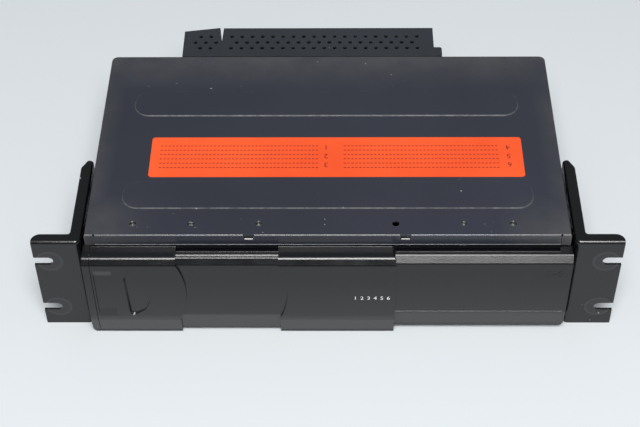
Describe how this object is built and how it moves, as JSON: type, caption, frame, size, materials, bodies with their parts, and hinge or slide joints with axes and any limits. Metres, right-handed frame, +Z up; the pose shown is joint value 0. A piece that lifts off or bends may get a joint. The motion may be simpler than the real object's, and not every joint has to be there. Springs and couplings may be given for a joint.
{
  "type": "car cd changer",
  "caption": "Low black car disc changer with a sliding two-panel door, perforated rear hood and slotted mounting ears at both sides of the front.",
  "frame": {"origin": "centre of the bounding box at the bottom of the case", "axes": "+X to the right seen from the front, +Y to the back, +Z up"},
  "size_m": [0.304, 0.18, 0.0656],
  "materials": {
    "cover_paint": "satin dark blue-grey paint",
    "label_film": "orange-red film with dark rules",
    "case_steel": "zinc-plated sheet",
    "hood_paint": "satin dark grey paint",
    "bezel_plastic": "fine textured black",
    "door_plastic": "fine textured black",
    "bracket_paint": "gloss black coat",
    "screw_steel": "black zinc screws",
    "magazine_plastic": "dark grey moulding",
    "tray_plastic": "dark grey moulding",
    "button_plastic": "black button",
    "lever_plastic": "natural acetal",
    "frame_steel": "zinc-plated sheet",
    "damper_rubber": "soft black rubber",
    "guide_plastic": "black moulding",
    "cam_steel": "ground steel",
    "gear_plastic": "natural acetal",
    "shaft_steel": "ground steel rod",
    "motor_can": "nickel-plated can",
    "deck_plastic": "glass-filled moulding",
    "turntable_plastic": "black turntable",
    "pickup_metal": "die-cast sled",
    "lens_glass": "coated lens",
    "board_laminate": "solder-masked laminate",
    "component_plastic": "moulded packages",
    "connector_plastic": "black socket",
    "sink_aluminium": "extruded fins"
  },
  "bodies": {
    "case": {"top_cover": "cover_paint", "cover_label": "label_film", "cover_stiffener": "frame_steel", "bottom_case": "case_steel", "rear_tray": "case_steel", "rear_vent_cover": "hood_paint", "front_bezel": "bezel_plastic", "left_bracket": "bracket_paint", "right_bracket": "bracket_paint", "bracket_screws": "screw_steel", "cover_screws": "screw_steel", "hood_screws": "screw_steel", "mechanism_frame": "frame_steel", "frame_front_plate": "frame_steel", "frame_rear_plate": "frame_steel", "dampers": "damper_rubber", "magazine_guide": "guide_plastic", "lift_motor": "motor_can", "main_board": "board_laminate", "board_components": "component_plastic", "rear_board": "board_laminate", "rear_connector": "connector_plastic", "heat_sink": "sink_aluminium"},
    "outer_door": {"outer_door": "door_plastic"},
    "inner_door": {"inner_door": "door_plastic"},
    "magazine": {"magazine_case": "magazine_plastic"},
    "eject_button": {"eject_button": "button_plastic"},
    "eject_lever": {"eject_lever": "lever_plastic"},
    "deck": {"deck_plate": "deck_plastic", "deck_pins": "shaft_steel", "spindle_motor": "motor_can", "sled_rails": "shaft_steel", "sled_motor": "motor_can"},
    "turntable": {"turntable": "turntable_plastic"},
    "pickup": {"pickup_block": "pickup_metal", "pickup_lens": "lens_glass"},
    "sled_screw": {"sled_screw": "shaft_steel"},
    "cam_front": {"cam_front": "cam_steel"},
    "cam_rear": {"cam_rear": "cam_steel"},
    "lift_shaft": {"lift_shaft": "shaft_steel", "lift_pinions": "gear_plastic", "lift_gear": "gear_plastic"},
    "motor_pinion": {"motor_pinion": "gear_plastic"},
    "tray_1": {"tray_1": "tray_plastic"},
    "tray_2": {"tray_2": "tray_plastic"},
    "tray_3": {"tray_3": "tray_plastic"},
    "tray_4": {"tray_4": "tray_plastic"},
    "tray_5": {"tray_5": "tray_plastic"},
    "tray_6": {"tray_6": "tray_plastic"}
  },
  "joints": [
    {"name": "outer_door_slide", "type": "slide", "parent": "case", "child": "outer_door", "axis": [1, 0, 0], "range_m": [0, 0.088]},
    {"name": "inner_door_slide", "type": "slide", "parent": "outer_door", "child": "inner_door", "axis": [1, 0, 0], "range_m": [0, 0.0526]},
    {"name": "magazine_slide", "type": "slide", "parent": "case", "child": "magazine", "axis": [0, 1, 0], "range_m": [-0.012, 0]},
    {"name": "eject_button_press", "type": "slide", "parent": "case", "child": "eject_button", "axis": [0, 1, 0], "range_m": [0, 0.003], "stiffness_N_per_m": 300, "springref_m": -0.002},
    {"name": "eject_lever_turn", "type": "hinge", "parent": "case", "child": "eject_lever", "pos_m": [0.012, -0.05905, 0.0116], "axis": [0, 0, 1], "range_deg": [-14.4, 0]},
    {"name": "deck_lift", "type": "slide", "parent": "case", "child": "deck", "axis": [0, 0, -1], "range_m": [-0.029, 0]},
    {"name": "turntable_spin", "type": "hinge", "parent": "deck", "child": "turntable", "pos_m": [0.0484, -0.00805, 0.012], "axis": [0, 0, 1], "continuous": true},
    {"name": "pickup_slide", "type": "slide", "parent": "deck", "child": "pickup", "axis": [1, 0, 0], "range_m": [0, 0.033]},
    {"name": "sled_screw_spin", "type": "hinge", "parent": "deck", "child": "sled_screw", "pos_m": [0.09, 0.01395, 0.0135], "axis": [1, 0, 0], "range_deg": [0, 3961]},
    {"name": "cam_front_slide", "type": "slide", "parent": "case", "child": "cam_front", "axis": [1, 0, 0], "range_m": [0, 0.029]},
    {"name": "cam_rear_slide", "type": "slide", "parent": "case", "child": "cam_rear", "axis": [1, 0, 0], "range_m": [0, 0.029]},
    {"name": "lift_shaft_spin", "type": "hinge", "parent": "case", "child": "lift_shaft", "pos_m": [0.07, -0.00805, 0.057], "axis": [0, 1, 0], "range_deg": [-396, 0]},
    {"name": "motor_pinion_spin", "type": "hinge", "parent": "case", "child": "motor_pinion", "pos_m": [0.078, -0.06205, 0.057], "axis": [0, 1, 0], "range_deg": [0, 660]},
    {"name": "tray_1_slide", "type": "slide", "parent": "magazine", "child": "tray_1", "axis": [1, 0, 0], "range_m": [0, 0.1]},
    {"name": "tray_2_slide", "type": "slide", "parent": "magazine", "child": "tray_2", "axis": [1, 0, 0], "range_m": [0, 0.1]},
    {"name": "tray_3_slide", "type": "slide", "parent": "magazine", "child": "tray_3", "axis": [1, 0, 0], "range_m": [0, 0.1]},
    {"name": "tray_4_slide", "type": "slide", "parent": "magazine", "child": "tray_4", "axis": [1, 0, 0], "range_m": [0, 0.1]},
    {"name": "tray_5_slide", "type": "slide", "parent": "magazine", "child": "tray_5", "axis": [1, 0, 0], "range_m": [0, 0.1]},
    {"name": "tray_6_slide", "type": "slide", "parent": "magazine", "child": "tray_6", "axis": [1, 0, 0], "range_m": [0, 0.1]}
  ],
  "couplings": [
    {"joint": "eject_lever_turn", "follows": "eject_button_press", "rad_per_m": -83.333},
    {"joint": "sled_screw_spin", "follows": "pickup_slide", "rad_per_m": 2094.4},
    {"joint": "cam_front_slide", "follows": "deck_lift", "ratio": -1},
    {"joint": "cam_rear_slide", "follows": "deck_lift", "ratio": -1},
    {"joint": "lift_shaft_spin", "follows": "deck_lift", "rad_per_m": 238.1},
    {"joint": "motor_pinion_spin", "follows": "deck_lift", "rad_per_m": -396.83}
  ]
}
